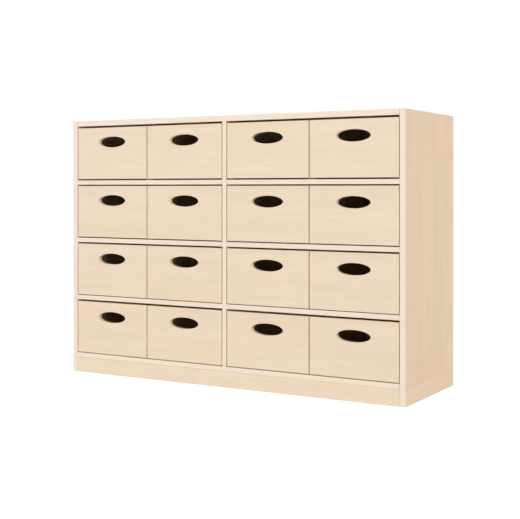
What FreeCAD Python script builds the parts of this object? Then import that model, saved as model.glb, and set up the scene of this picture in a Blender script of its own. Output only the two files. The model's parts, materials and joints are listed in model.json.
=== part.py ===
"""Classroom tray storage unit.

A board cabinet with two bays and four rows stands on its own plinth frame.  Each opening
holds two wooden trays side by side, which slide out towards the front.

Frame: X across the width, Y towards the rear, Z up.  The origin lies on the floor, in the
middle of the footprint.  Every size is in millimetres.
"""
import FreeCAD, Part
import Sketcher
import os

# Counts that decide which pieces exist.
ROWS = 4
ROWS_BETWEEN = ROWS - 2
BAYS = ("left", "right")
TRAYS_PER_BAY = 2

# Driving dimensions: alias, value in millimetres, meaning.
SIZES = (
    ("cabinet_width", 1242, "overall width over both sides"),
    ("cabinet_depth", 405, "overall depth from front lipping to rear edge"),
    ("row_height", 185, "clear height of one opening, where the rows are even"),
    ("top_row_extra", 2.2, "extra height of the top opening, taken from the rows between"),
    ("plinth_height", 52, "floor to underside of the carcass"),
    ("outer_board", 18, "thickness of sides, top and plinth boards"),
    ("inner_board", 15, "thickness of bottom, shelves and divider"),
    ("lipping", 2, "thickness of the strips on the front edges"),
    ("edge_round", 0.6, "rounding of outer board and lipping edges"),
    ("back_board", 5, "thickness of the back panels"),
    ("back_inset", 5, "rear edge of the carcass to the back panels"),
    ("groove_depth", 5, "depth of the grooves for the back panels"),
    ("groove_play", 0.2, "clearance of a panel in its groove, each way"),
    ("shelf_play", 0.4, "clearance of a shelf at its ends and rear edge"),
    ("pin_diameter", 5, "diameter of a shelf pin"),
    ("pin_reach", 8, "length of a shelf pin outside its hole"),
    ("pin_web", 2, "wood left between pins from both faces of the divider"),
    ("pin_setback", 45, "shelf pin to the nearer edge of its shelf"),
    ("dowel_diameter", 8, "diameter of a dowel"),
    ("dowel_length", 30, "length of a dowel"),
    ("dowel_cover", 6, "wood left beyond a dowel in the face of a board"),
    ("dowel_setback", 50, "outer dowels to the edges of the board"),
    ("hole_play", 0.1, "clearance round a dowel, pin or screw"),
    ("hole_spare", 1, "spare depth past the end of a dowel or screw"),
    ("plinth_dowel_edge", 15, "plinth dowels to the edges of the plinth board"),
    ("block_side", 32, "side of a square plinth block"),
    ("block_drop", 12, "floor to underside of a plinth block"),
    ("screw_diameter", 5, "diameter of a plinth screw"),
    ("screw_head", 10, "head diameter of a plinth screw"),
    ("screw_head_height", 3, "height of the countersunk screw head"),
    ("screw_bite", 10, "length of a screw in the bottom panel"),
    ("gap_side", 2.4, "tray front to cabinet side or divider"),
    ("gap_between", 2.6, "between two tray fronts"),
    ("gap_above", 6.3, "tray front to the board above, in the top and bottom rows"),
    ("gap_below", 2.2, "tray front to the board below, in the bottom row"),
    ("tray_setback", 0.8, "tray fronts behind the front edges of the cabinet"),
    ("tray_float", 0.3, "running clearance under the tray sides"),
    ("tray_stop_play", 0.3, "tray back board to the back panel"),
    ("front_board", 16, "thickness of a tray front"),
    ("front_round", 1, "rounding of the edges of a tray front"),
    ("tray_board", 10, "thickness of tray sides and back"),
    ("tray_inset", 1, "tray sides behind the ends of the front"),
    ("tray_drop", 14, "tray sides and back below the top of the front"),
    ("tray_round", 2, "rounding of the top edges of sides and back"),
    ("base_board", 4, "thickness of the tray base"),
    ("base_lift", 8, "lower edge of the tray sides to the base"),
    ("base_groove", 4, "depth of the grooves for the tray base"),
    ("grip_width", 113, "width of the elliptical hand-hole"),
    ("grip_height", 37, "height of the elliptical hand-hole"),
    ("grip_drop", 50, "centre of the hand-hole below the top of the front"),
    ("grip_round", 1, "rounding of the hand-hole rims"),
)

# Expressions worked out from the driving dimensions.
LEFT = "(-Sizes.cabinet_width / 2)"
FRONT = "(-Sizes.cabinet_depth / 2)"
BOARD_FRONT = f"({FRONT} + Sizes.lipping)"
BOARD_DEPTH = "(Sizes.cabinet_depth - Sizes.lipping)"
ROW_PITCH = "(Sizes.row_height + Sizes.inner_board)"
CARCASS_HEIGHT = f"({ROWS} * {ROW_PITCH} + Sizes.outer_board)"
DIVIDER_HEIGHT = f"({CARCASS_HEIGHT} - Sizes.outer_board - Sizes.inner_board)"
INNER_LEFT = f"({LEFT} + Sizes.outer_board)"
INNER_WIDTH = "(Sizes.cabinet_width - 2 * Sizes.outer_board)"
BAY_WIDTH = f"(({INNER_WIDTH} - Sizes.inner_board) / 2)"
BACK_FACE = "(Sizes.cabinet_depth / 2 - Sizes.back_inset - Sizes.back_board)"
GROOVE_WIDTH = "(Sizes.back_board + 2 * Sizes.groove_play)"
GROOVE_START = f"({BOARD_DEPTH} - Sizes.back_inset - Sizes.back_board - Sizes.groove_play)"
SHELF_DEPTH = f"({BACK_FACE} - {BOARD_FRONT} - Sizes.shelf_play)"
PIN_SEAT = "((Sizes.inner_board - Sizes.pin_web) / 2)"
PIN_HOLE = "(Sizes.pin_diameter + 2 * Sizes.hole_play)"
DOWEL_HOLE = "(Sizes.dowel_diameter + 2 * Sizes.hole_play)"
OUTER_SEAT = "(Sizes.outer_board - Sizes.dowel_cover)"
INNER_SEAT = "(Sizes.inner_board - Sizes.dowel_cover)"
BLOCK_HEIGHT = "(Sizes.plinth_height - Sizes.block_drop)"
TRAY_WIDTH = f"(({BAY_WIDTH} - 2 * Sizes.gap_side - Sizes.gap_between) / {TRAYS_PER_BAY})"
TRAY_FRONT_HEIGHT = "(Sizes.row_height - Sizes.gap_above - Sizes.gap_below)"
TRAY_LENGTH = f"({BACK_FACE} - {FRONT} - Sizes.tray_setback - Sizes.tray_stop_play)"
TRAY_BOX_LENGTH = f"({TRAY_LENGTH} - Sizes.front_board)"
TRAY_BOX_WIDTH = f"({TRAY_WIDTH} - 2 * Sizes.tray_inset)"
BASE_SLOT = "(Sizes.base_board + 2 * Sizes.groove_play)"
BASE_BITE = "(Sizes.base_groove - Sizes.groove_play)"

TO_RIGHT = FreeCAD.Vector(1, 0, 0)
TO_LEFT = FreeCAD.Vector(-1, 0, 0)
UPWARDS = FreeCAD.Vector(0, 0, 1)

# Rough places and sizes that sketch geometry starts from, before its dimensions move it.
START_SIDE = 1.0
START_STEP = 10.0
START_RADIUS = 2.0
GRIP_START = FreeCAD.Vector(150, 120, 0)
GRIP_START_REACH = 50.0
GRIP_START_RISE = 15.0

# Coordinates nearer to each other than this are the same.
SAME_PLACE = 1e-4

DOC = FreeCAD.newDocument("TrayStorageUnit")
PIECES = []


def fill_sheet():
    """Write the driving dimensions to the sheet, one to a row, each with its alias."""
    sheet = DOC.addObject("Spreadsheet::Sheet", "Sizes")
    for row, (alias, value, meaning) in enumerate(SIZES, start=1):
        sheet.set(f"A{row}", alias)
        sheet.set(f"B{row}", str(value))
        sheet.set(f"C{row}", meaning)
        sheet.setAlias(f"B{row}", alias)
    DOC.recompute()


def bay_left(bay):
    """Left edge of the clear width of one bay."""
    return f"({INNER_LEFT} + {bay} * ({BAY_WIDTH} + Sizes.inner_board))"


def shelf_drop(level):
    """How far the board at a level lies below even rows: nothing up to the lowest shelf."""
    return f"({max(level - 1, 0)} / {ROWS_BETWEEN} * Sizes.top_row_extra)"


def shelf_floor(level):
    """Top face of the board that carries a row of trays, counted up from the bottom panel."""
    even = f"Sizes.plinth_height + Sizes.inner_board + {level} * {ROW_PITCH}"
    return f"({even} - {shelf_drop(level)})"


def front_lift(level):
    """Foot of a tray front above the foot of its tray sides, on the board at a level."""
    return f"(Sizes.gap_below + {shelf_drop(level)} - Sizes.tray_float)"


def tray_side_height(level):
    """Height of the sides and back of a tray on the board at a level."""
    return f"({front_lift(level)} + {TRAY_FRONT_HEIGHT} - Sizes.tray_drop)"


def dowel_rows():
    """Places of three dowels along the depth of a carcass board."""
    rear = f"({BOARD_DEPTH} - Sizes.dowel_setback)"
    return ("Sizes.dowel_setback", f"({BOARD_DEPTH} / 2)", rear)


def pin_rows():
    """Places of the front and rear shelf pins along the depth of a carcass board."""
    return ("Sizes.pin_setback", f"({SHELF_DEPTH} - Sizes.pin_setback)")


def plinth_dowel_rows():
    """Heights of the two dowels at each corner of the plinth."""
    return ("Sizes.plinth_dowel_edge", "(Sizes.plinth_height - Sizes.plinth_dowel_edge)")


def place(piece, x, y, z):
    """Bind the placement of a piece to three expressions."""
    for axis, text in zip("xyz", (x, y, z)):
        piece.setExpression(f".Placement.Base.{axis}", text)


def keep(piece, label):
    """Give a finished piece its label and list it for output."""
    piece.Label = label
    PIECES.append(piece)


def new_sketch(body, name, plane, level):
    """A sketch on one of the body's origin planes, moved along its normal to a level."""
    sketch = body.newObject("Sketcher::SketchObject", name)
    origin_plane = next(item for item in body.Origin.OriginFeatures if item.Role == plane)
    sketch.AttachmentSupport = [(origin_plane, "")]
    sketch.MapMode = "FlatFace"
    sketch.setExpression(".AttachmentOffset.Base.z", level)
    return sketch


def dimension(sketch, name, text, *constraint):
    """Add a named dimension to a sketch and bind it to an expression."""
    index = sketch.addConstraint(Sketcher.Constraint(*constraint))
    sketch.renameConstraint(index, name)
    sketch.setExpression(f"Constraints.{name}", text)


def rectangle(body, name, plane, level, x, y, width, height):
    """A sketch of one rectangle with its low corner at x, y."""
    sketch = new_sketch(body, name, plane, level)
    steps = ((1, 1), (2, 1), (2, 2), (1, 2))
    corners = [FreeCAD.Vector(*step, 0) * START_SIDE for step in steps]
    for start, end in zip(corners, corners[1:] + corners[:1]):
        sketch.addGeometry(Part.LineSegment(start, end), False)
    for line in range(4):
        sketch.addConstraint(Sketcher.Constraint("Coincident", line, 2, (line + 1) % 4, 1))
        direction = "Horizontal" if line % 2 == 0 else "Vertical"
        sketch.addConstraint(Sketcher.Constraint(direction, line))
    dimension(sketch, "across", width, "DistanceX", 0, 1, 0, 2, START_SIDE)
    dimension(sketch, "up", height, "DistanceY", 1, 1, 1, 2, START_SIDE)
    dimension(sketch, "corner_x", x, "DistanceX", -1, 1, 0, 1, START_SIDE)
    dimension(sketch, "corner_y", y, "DistanceY", -1, 1, 0, 1, START_SIDE)
    return sketch


def circles(body, name, plane, level, centres, diameter):
    """A sketch of equal circles at the given centres."""
    sketch = new_sketch(body, name, plane, level)
    for index, (x, y) in enumerate(centres):
        start = FreeCAD.Vector(START_STEP * (index + 1), START_STEP, 0)
        sketch.addGeometry(Part.Circle(start, UPWARDS, START_RADIUS), False)
        dimension(sketch, f"x{index}", x, "DistanceX", -1, 1, index, 3, start.x)
        dimension(sketch, f"y{index}", y, "DistanceY", -1, 1, index, 3, start.y)
        dimension(sketch, f"across{index}", diameter, "Diameter", index, 2 * START_RADIUS)
    return sketch


def slab(name, width, depth, height):
    """A board as a body: width along X, depth along Y, height along Z, corner at its origin."""
    body = DOC.addObject("PartDesign::Body", name)
    outline = rectangle(body, f"{name}_outline", "XY_Plane", "0", "0", "0", width, depth)
    pad = body.newObject("PartDesign::Pad", f"{name}_pad")
    pad.Profile = outline
    pad.setExpression("Length", height)
    return body


def cut(body, sketch, depth, along_normal):
    """Pocket a sketch to a depth, along its plane's normal or against it."""
    pocket = body.newObject("PartDesign::Pocket", f"{sketch.Name}_cut")
    pocket.Profile = sketch
    pocket.Reversed = along_normal
    pocket.setExpression("Length", depth)


def cut_through(body, sketch):
    """Pocket a sketch right through the body, both ways."""
    pocket = body.newObject("PartDesign::Pocket", f"{sketch.Name}_cut")
    pocket.Profile = sketch
    pocket.Type = "ThroughAll"
    pocket.Midplane = True


def round_edges(body, name, radius, wanted):
    """Fillet the edges of the body's present tip that pass a test of their bounding box."""
    DOC.recompute()
    base = body.Tip
    chosen = []
    for index, edge in enumerate(base.Shape.Edges, start=1):
        if wanted(edge.BoundBox):
            chosen.append(f"Edge{index}")
    fillet = body.newObject("PartDesign::Fillet", name)
    fillet.Base = (base, chosen)
    fillet.setExpression("Radius", radius)


def at(value, wanted):
    """True where a coordinate equals a wanted value."""
    return abs(value - wanted) < SAME_PLACE


def round_front(body, name, radius):
    """Round the outline of a body's front face, where Y is 0 in its own frame."""
    outline = body.Shape.BoundBox

    def on_outline(box):
        flat = at(box.YMin, 0) and at(box.YMax, 0)
        on_side = at(box.XMax, outline.XMin) or at(box.XMin, outline.XMax)
        on_end = at(box.ZMax, outline.ZMin) or at(box.ZMin, outline.ZMax)
        return flat and (on_side or on_end)

    round_edges(body, name, radius, on_outline)


def lipping(name, width, height, x, z):
    """A strip on the front edge of a board, with its front edges rounded."""
    strip = slab(name, width, "Sizes.lipping", height)
    DOC.recompute()
    round_front(strip, f"{name}_round", "Sizes.edge_round")
    place(strip, x, FRONT, z)
    return strip


def group(label, members):
    """Join separate solids in one labelled piece."""
    compound = DOC.addObject("Part::Compound", label)
    compound.Links = members
    keep(compound, label)


def rod(name, diameter, length, direction, x, y, z):
    """A cylinder from a start point along X, -X or Z."""
    cylinder = DOC.addObject("Part::Cylinder", name)
    cylinder.setExpression("Radius", f"{diameter} / 2")
    cylinder.setExpression("Height", length)
    cylinder.Placement.Rotation = FreeCAD.Rotation(UPWARDS, direction)
    place(cylinder, x, y, z)
    return cylinder


def pin_height(level):
    """Axis of the pins under the shelf at a level, above the underside of the carcass."""
    underside = f"({shelf_floor(level)} - Sizes.inner_board - Sizes.plinth_height)"
    return f"({underside} - Sizes.pin_diameter / 2)"


def pin_centres(drop):
    """Centres of the pin holes in an upright whose foot is a distance above the carcass foot."""
    return [(y, f"({pin_height(level)} - {drop})") for level in range(1, ROWS) for y in pin_rows()]


def side_panels():
    """The two sides, mirror images, grooved for the back and bored for dowels and pins."""
    side = slab("side_left", "Sizes.outer_board", BOARD_DEPTH, CARCASS_HEIGHT)
    face = "Sizes.outer_board"
    groove_foot = "(Sizes.inner_board - Sizes.groove_depth)"
    groove_run = f"({DIVIDER_HEIGHT} + 2 * Sizes.groove_depth)"
    groove = rectangle(side, "side_groove", "YZ_Plane", face, GROOVE_START, groove_foot,
                       GROOVE_WIDTH, groove_run)
    cut(side, groove, "Sizes.groove_depth", False)
    pins = circles(side, "side_pin_holes", "YZ_Plane", face, pin_centres("0"), PIN_HOLE)
    cut(side, pins, PIN_SEAT, False)
    top_line = f"({CARCASS_HEIGHT} - Sizes.outer_board / 2)"
    centres = [(y, z) for z in ("(Sizes.inner_board / 2)", top_line) for y in dowel_rows()]
    dowels = circles(side, "side_dowel_holes", "YZ_Plane", face, centres, DOWEL_HOLE)
    cut(side, dowels, f"{OUTER_SEAT} + Sizes.hole_spare", False)
    DOC.recompute()
    outline = side.Shape.BoundBox

    def on_outer_face(box):
        front = at(box.YMax, 0)
        return at(box.XMax, 0) and not front

    round_edges(side, "side_round", "Sizes.edge_round", on_outer_face)
    place(side, LEFT, BOARD_FRONT, "Sizes.plinth_height")
    keep(side, "side_left")
    other = DOC.addObject("Part::Mirroring", "side_right")
    other.Source = side
    other.Normal = TO_RIGHT
    keep(other, "side_right")


def end_holes(body, name, width, height):
    """Dowel holes in both ends of a board that lies between the sides."""
    depth = f"Sizes.dowel_length - {OUTER_SEAT} + Sizes.hole_spare"
    centres = [(y, f"({height} / 2)") for y in dowel_rows()]
    for end, level, inward in (("left", "0", True), ("right", width, False)):
        holes = circles(body, f"{name}_{end}_holes", "YZ_Plane", level, centres, DOWEL_HOLE)
        cut(body, holes, depth, inward)


def face_holes(body, name, level, seat, upwards):
    """Dowel holes in the middle of a horizontal board, for the end of the divider."""
    centres = [(f"({INNER_WIDTH} / 2)", y) for y in dowel_rows()]
    holes = circles(body, f"{name}_middle_holes", "XY_Plane", level, centres, DOWEL_HOLE)
    cut(body, holes, f"{seat} + Sizes.hole_spare", upwards)


def top_panel():
    """The top, between the sides, grooved underneath for the back panels."""
    top = slab("top_panel", INNER_WIDTH, BOARD_DEPTH, "Sizes.outer_board")
    groove = rectangle(top, "top_groove", "YZ_Plane", "0", GROOVE_START, "0",
                       GROOVE_WIDTH, "Sizes.groove_depth")
    cut_through(top, groove)
    end_holes(top, "top", INNER_WIDTH, "Sizes.outer_board")
    face_holes(top, "top", "0", OUTER_SEAT, True)
    underside = f"(Sizes.plinth_height + {CARCASS_HEIGHT} - Sizes.outer_board)"
    place(top, INNER_LEFT, BOARD_FRONT, underside)
    keep(top, "top_panel")


def block_centres():
    """Centres of the plinth blocks: four corners and two in the middle of the long boards."""
    half = "Sizes.block_side / 2"
    near = f"(Sizes.outer_board + {half})"
    far_x = f"(Sizes.cabinet_width - Sizes.outer_board - {half})"
    far_y = f"(Sizes.cabinet_depth - Sizes.outer_board - {half})"
    return [(x, y) for x in (near, "(Sizes.cabinet_width / 2)", far_x) for y in (near, far_y)]


def bottom_panel():
    """The bottom, between the sides, grooved for the backs, with pilot holes underneath."""
    bottom = slab("bottom_panel", INNER_WIDTH, BOARD_DEPTH, "Sizes.inner_board")
    low = "(Sizes.inner_board - Sizes.groove_depth)"
    groove = rectangle(bottom, "bottom_groove", "YZ_Plane", "0", GROOVE_START, low,
                       GROOVE_WIDTH, "Sizes.groove_depth")
    cut_through(bottom, groove)
    end_holes(bottom, "bottom", INNER_WIDTH, "Sizes.inner_board")
    face_holes(bottom, "bottom", "Sizes.inner_board", INNER_SEAT, False)
    centres = [(f"({x} - Sizes.outer_board)", f"({y} - Sizes.lipping)")
               for x, y in block_centres()]
    pilot = "(Sizes.screw_diameter + 2 * Sizes.hole_play)"
    pilots = circles(bottom, "bottom_pilot_holes", "XY_Plane", "0", centres, pilot)
    cut(bottom, pilots, "Sizes.screw_bite + Sizes.hole_spare", True)
    place(bottom, INNER_LEFT, BOARD_FRONT, "Sizes.plinth_height")
    keep(bottom, "bottom_panel")


def centre_divider():
    """The upright between the bays, grooved and bored on both faces."""
    divider = slab("centre_divider", "Sizes.inner_board", BOARD_DEPTH, DIVIDER_HEIGHT)
    for face, level, inward in (("left", "0", True), ("right", "Sizes.inner_board", False)):
        groove = rectangle(divider, f"divider_{face}_groove", "YZ_Plane", level, GROOVE_START,
                           "0", GROOVE_WIDTH, DIVIDER_HEIGHT)
        cut(divider, groove, "Sizes.groove_depth", inward)
        pins = circles(divider, f"divider_{face}_pin_holes", "YZ_Plane", level,
                       pin_centres("Sizes.inner_board"), PIN_HOLE)
        cut(divider, pins, PIN_SEAT, inward)
    centres = [("(Sizes.inner_board / 2)", y) for y in dowel_rows()]
    ends = (("foot", "0", INNER_SEAT, True), ("head", DIVIDER_HEIGHT, OUTER_SEAT, False))
    for end, level, seat, upwards in ends:
        holes = circles(divider, f"divider_{end}_holes", "XY_Plane", level, centres, DOWEL_HOLE)
        cut(divider, holes, f"Sizes.dowel_length - {seat} + Sizes.hole_spare", upwards)
    place(divider, "-Sizes.inner_board / 2", BOARD_FRONT, shelf_floor(0))
    keep(divider, "centre_divider")


def shelves():
    """Three shelves in each bay, which rest on their pins, and a lipping on each."""
    strips = []
    width = f"({BAY_WIDTH} - 2 * Sizes.shelf_play)"
    for bay, side in enumerate(BAYS):
        for level in range(1, ROWS):
            name = f"shelf_{side}_{ROWS - level}"
            left = f"{bay_left(bay)} + Sizes.shelf_play"
            underside = f"{shelf_floor(level)} - Sizes.inner_board"
            shelf = slab(name, width, SHELF_DEPTH, "Sizes.inner_board")
            place(shelf, left, BOARD_FRONT, underside)
            keep(shelf, name)
            strips.append(lipping(f"{name}_lipping", width, "Sizes.inner_board", left, underside))
    group("shelf_lippings", strips)


def shelf_pins():
    """Four pins under each shelf, two in each upright beside it."""
    pins = []
    length = f"({PIN_SEAT} + Sizes.pin_reach)"
    for bay in range(len(BAYS)):
        left = f"{bay_left(bay)} - {PIN_SEAT}"
        right = f"{bay_left(bay)} + {BAY_WIDTH} + {PIN_SEAT}"
        for level in range(1, ROWS):
            z = f"{pin_height(level)} + Sizes.plinth_height"
            for row, y in enumerate(pin_rows()):
                for x, direction in ((left, TO_RIGHT), (right, TO_LEFT)):
                    name = f"pin_{bay}_{level}_{row}"
                    depth = f"{BOARD_FRONT} + {y}"
                    pins.append(rod(name, "Sizes.pin_diameter", length, direction, x, depth, z))
    group("shelf_pins", pins)


def back_panels():
    """One thin panel behind each bay, held in grooves on all four edges."""
    bite = "(Sizes.groove_depth - Sizes.groove_play)"
    for bay, side in enumerate(BAYS):
        name = f"back_panel_{side}"
        panel = slab(name, f"{BAY_WIDTH} + 2 * {bite}", "Sizes.back_board",
                     f"{DIVIDER_HEIGHT} + 2 * {bite}")
        place(panel, f"{bay_left(bay)} - {bite}", BACK_FACE, f"{shelf_floor(0)} - {bite}")
        keep(panel, name)


def carcass_lippings():
    """Lippings on the front edges of the sides, top, bottom and divider."""
    right = f"-{LEFT} - Sizes.outer_board"
    strips = []
    for name, x in (("left", LEFT), ("right", right)):
        strips.append(lipping(f"side_{name}_lipping", "Sizes.outer_board", CARCASS_HEIGHT,
                              x, "Sizes.plinth_height"))
    group("side_lippings", strips)
    underside = f"Sizes.plinth_height + {CARCASS_HEIGHT} - Sizes.outer_board"
    keep(lipping("top_lipping", INNER_WIDTH, "Sizes.outer_board", INNER_LEFT, underside),
         "top_lipping")
    keep(lipping("bottom_lipping", INNER_WIDTH, "Sizes.inner_board", INNER_LEFT,
                 "Sizes.plinth_height"), "bottom_lipping")
    keep(lipping("divider_lipping", "Sizes.inner_board", DIVIDER_HEIGHT,
                 "-Sizes.inner_board / 2", shelf_floor(0)), "divider_lipping")


def carcass_dowels():
    """Dowels between sides and horizontal boards, and at both ends of the divider."""
    dowels = []
    length = "Sizes.dowel_length"
    size = "Sizes.dowel_diameter"
    bottom_line = "Sizes.plinth_height + Sizes.inner_board / 2"
    top_line = f"Sizes.plinth_height + {CARCASS_HEIGHT} - Sizes.outer_board / 2"
    left = f"{INNER_LEFT} - {OUTER_SEAT}"
    right = f"-{INNER_LEFT} + {OUTER_SEAT}"
    head = f"{shelf_floor(0)} + {DIVIDER_HEIGHT} + {OUTER_SEAT} - Sizes.dowel_length"
    foot = f"{shelf_floor(0)} - {INNER_SEAT}"
    for row, place_y in enumerate(dowel_rows()):
        y = f"{BOARD_FRONT} + {place_y}"
        for z in (bottom_line, top_line):
            dowels.append(rod(f"dowel_left_{row}", size, length, TO_RIGHT, left, y, z))
            dowels.append(rod(f"dowel_right_{row}", size, length, TO_LEFT, right, y, z))
        for z in (foot, head):
            dowels.append(rod(f"dowel_middle_{row}", size, length, UPWARDS, "0", y, z))
    group("carcass_dowels", dowels)


def plinth_long_board(name, y):
    """A plinth board between the plinth sides, with dowel holes in its ends."""
    board = slab(name, INNER_WIDTH, "Sizes.outer_board", "Sizes.plinth_height")
    depth = f"Sizes.dowel_length - {OUTER_SEAT} + Sizes.hole_spare"
    centres = [("(Sizes.outer_board / 2)", z) for z in plinth_dowel_rows()]
    for end, level, inward in (("left", "0", True), ("right", INNER_WIDTH, False)):
        holes = circles(board, f"{name}_{end}_holes", "YZ_Plane", level, centres, DOWEL_HOLE)
        cut(board, holes, depth, inward)
    place(board, INNER_LEFT, y, "0")
    return board


def plinth_boards():
    """The four boards of the plinth, flush with the carcass above, and two lippings."""
    front = plinth_long_board("plinth_front", FRONT)
    DOC.recompute()
    round_front(front, "plinth_front_round", "Sizes.edge_round")
    keep(front, "plinth_front")
    keep(plinth_long_board("plinth_rear", "Sizes.cabinet_depth / 2 - Sizes.outer_board"),
         "plinth_rear")
    side = slab("plinth_left", "Sizes.outer_board", BOARD_DEPTH, "Sizes.plinth_height")
    rows = ("(Sizes.outer_board / 2 - Sizes.lipping)", f"({BOARD_DEPTH} - Sizes.outer_board / 2)")
    centres = [(y, z) for y in rows for z in plinth_dowel_rows()]
    holes = circles(side, "plinth_side_holes", "YZ_Plane", "Sizes.outer_board", centres, DOWEL_HOLE)
    cut(side, holes, f"{OUTER_SEAT} + Sizes.hole_spare", False)
    round_edges(side, "plinth_side_round", "Sizes.edge_round",
                lambda box: at(box.XMax, 0) and not at(box.YMax, 0))
    place(side, LEFT, BOARD_FRONT, "0")
    keep(side, "plinth_left")
    other = DOC.addObject("Part::Mirroring", "plinth_right")
    other.Source = side
    other.Normal = TO_RIGHT
    keep(other, "plinth_right")
    strips = []
    for name, x in (("left", LEFT), ("right", f"-{LEFT} - Sizes.outer_board")):
        strips.append(lipping(f"plinth_{name}_lipping", "Sizes.outer_board",
                              "Sizes.plinth_height", x, "0"))
    group("plinth_lippings", strips)


def plinth_dowels():
    """Two dowels at each corner of the plinth."""
    dowels = []
    left = f"{INNER_LEFT} - {OUTER_SEAT}"
    right = f"-{INNER_LEFT} + {OUTER_SEAT}"
    middle = "Sizes.outer_board / 2"
    for y in (f"{FRONT} + {middle}", f"-{FRONT} - {middle}"):
        for z in plinth_dowel_rows():
            for x, direction in ((left, TO_RIGHT), (right, TO_LEFT)):
                dowels.append(rod("plinth_dowel", "Sizes.dowel_diameter", "Sizes.dowel_length",
                                  direction, x, y, z))
    group("plinth_dowels", dowels)


def plinth_blocks():
    """Square blocks glued inside the plinth, each bored for one screw with a countersink."""
    block = slab("plinth_block", "Sizes.block_side", "Sizes.block_side", BLOCK_HEIGHT)
    middle = "(Sizes.block_side / 2)"
    hole = "(Sizes.screw_diameter + 2 * Sizes.hole_play)"
    bore = circles(block, "block_bore", "XY_Plane", "0", [(middle, middle)], hole)
    cut_through(block, bore)
    sink = circles(block, "block_sink", "XY_Plane", "0", [(middle, middle)],
                   "(Sizes.screw_head + 2 * Sizes.hole_play)")
    cut(block, sink, "Sizes.screw_head_height", True)
    copies = []
    for x, y in block_centres():
        copy = DOC.addObject("Part::Compound", "plinth_block_copy")
        copy.Links = [block]
        place(copy, f"{LEFT} + {x} - {middle}", f"{FRONT} + {y} - {middle}", "Sizes.block_drop")
        copies.append(copy)
    group("plinth_blocks", copies)


def plinth_screws():
    """Screws up through the blocks into the bottom panel."""
    screws = []
    for x, y in block_centres():
        shank = rod("screw_shank", "Sizes.screw_diameter", f"{BLOCK_HEIGHT} + Sizes.screw_bite",
                    UPWARDS, f"{LEFT} + {x}", f"{FRONT} + {y}", "Sizes.block_drop")
        head = rod("screw_head", "Sizes.screw_head", "Sizes.screw_head_height",
                   UPWARDS, f"{LEFT} + {x}", f"{FRONT} + {y}", "Sizes.block_drop")
        screw = DOC.addObject("Part::Fuse", "plinth_screw")
        screw.Base = shank
        screw.Tool = head
        screws.append(screw)
    group("plinth_screws", screws)


def grip_sketch(body):
    """The elliptical hand-hole, centred across the tray front."""
    sketch = new_sketch(body, "grip_outline", "XZ_Plane", "0")
    end = GRIP_START + FreeCAD.Vector(GRIP_START_REACH, 0, 0)
    crown = GRIP_START + FreeCAD.Vector(0, GRIP_START_RISE, 0)
    ellipse = sketch.addGeometry(Part.Ellipse(end, crown, GRIP_START), False)
    sketch.exposeInternalGeometry(ellipse)
    major = ellipse + 1
    minor = ellipse + 2
    sketch.addConstraint(Sketcher.Constraint("Horizontal", major))
    dimension(sketch, "grip_across", "Sizes.grip_width", "Distance", major,
              2 * GRIP_START_REACH)
    dimension(sketch, "grip_up", "Sizes.grip_height", "Distance", minor, 2 * GRIP_START_RISE)
    dimension(sketch, "centre_x", f"{TRAY_WIDTH} / 2", "DistanceX",
              -1, 1, ellipse, 3, GRIP_START.x)
    dimension(sketch, "centre_z", f"{TRAY_FRONT_HEIGHT} - Sizes.grip_drop", "DistanceY",
              -1, 1, ellipse, 3, GRIP_START.y)
    return sketch


def tray_front(level):
    """The front board of a tray: hand-hole, groove for the base, rounded edges."""
    front = slab(f"tray_front_{level}", TRAY_WIDTH, "Sizes.front_board", TRAY_FRONT_HEIGHT)
    cut_through(front, grip_sketch(front))
    slot_foot = f"(Sizes.base_lift - {front_lift(level)} - Sizes.groove_play)"
    slot_left = "(Sizes.tray_inset + Sizes.tray_board - Sizes.base_groove)"
    slot_width = f"({TRAY_WIDTH} - 2 * {slot_left})"
    slot = rectangle(front, "front_slot", "XZ_Plane", "-Sizes.front_board", slot_left, slot_foot,
                     slot_width, BASE_SLOT)
    cut(front, slot, "Sizes.base_groove", True)
    DOC.recompute()
    outline = front.Shape.BoundBox

    def on_rim(box):
        flat = at(box.YMin, box.YMax)
        at_side = at(box.XMin, outline.XMin) or at(box.XMax, outline.XMax)
        return flat and not at_side and box.ZMin > outline.ZMax / 2

    round_edges(front, "grip_rims", "Sizes.grip_round", on_rim)
    DOC.recompute()
    round_front(front, "front_edges", "Sizes.front_round")
    return front


def tray_sides(level):
    """The two side boards of a tray, mirror images, each grooved for the base."""
    side = slab(f"tray_side_{level}", "Sizes.tray_board", TRAY_BOX_LENGTH,
                tray_side_height(level))
    slot = rectangle(side, "side_slot", "XZ_Plane", "0",
                     "(Sizes.tray_board - Sizes.base_groove)",
                     "(Sizes.base_lift - Sizes.groove_play)", "Sizes.base_groove", BASE_SLOT)
    cut_through(side, slot)
    DOC.recompute()
    top = side.Shape.BoundBox.ZMax
    round_edges(side, "side_top_round", "Sizes.tray_round",
                lambda box: at(box.ZMin, top) and box.YLength > box.XLength)
    place(side, "Sizes.tray_inset", "Sizes.front_board", "0")
    other = DOC.addObject("Part::Mirroring", f"tray_side_mirrored_{level}")
    other.Source = side
    other.Normal = TO_RIGHT
    other.setExpression(".Base.x", f"{TRAY_WIDTH} / 2")
    return [side, other]


def tray_back(level):
    """The back board of a tray, between its sides."""
    width = f"({TRAY_BOX_WIDTH} - 2 * Sizes.tray_board)"
    back = slab(f"tray_back_{level}", width, "Sizes.tray_board", tray_side_height(level))
    slot = rectangle(back, "back_slot", "YZ_Plane", "0", "0",
                     "(Sizes.base_lift - Sizes.groove_play)", "Sizes.base_groove", BASE_SLOT)
    cut_through(back, slot)
    DOC.recompute()
    top = back.Shape.BoundBox.ZMax
    round_edges(back, "back_top_round", "Sizes.tray_round",
                lambda box: at(box.ZMin, top) and box.XLength > box.YLength)
    place(back, "Sizes.tray_inset + Sizes.tray_board", f"{TRAY_LENGTH} - Sizes.tray_board", "0")
    return back


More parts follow.
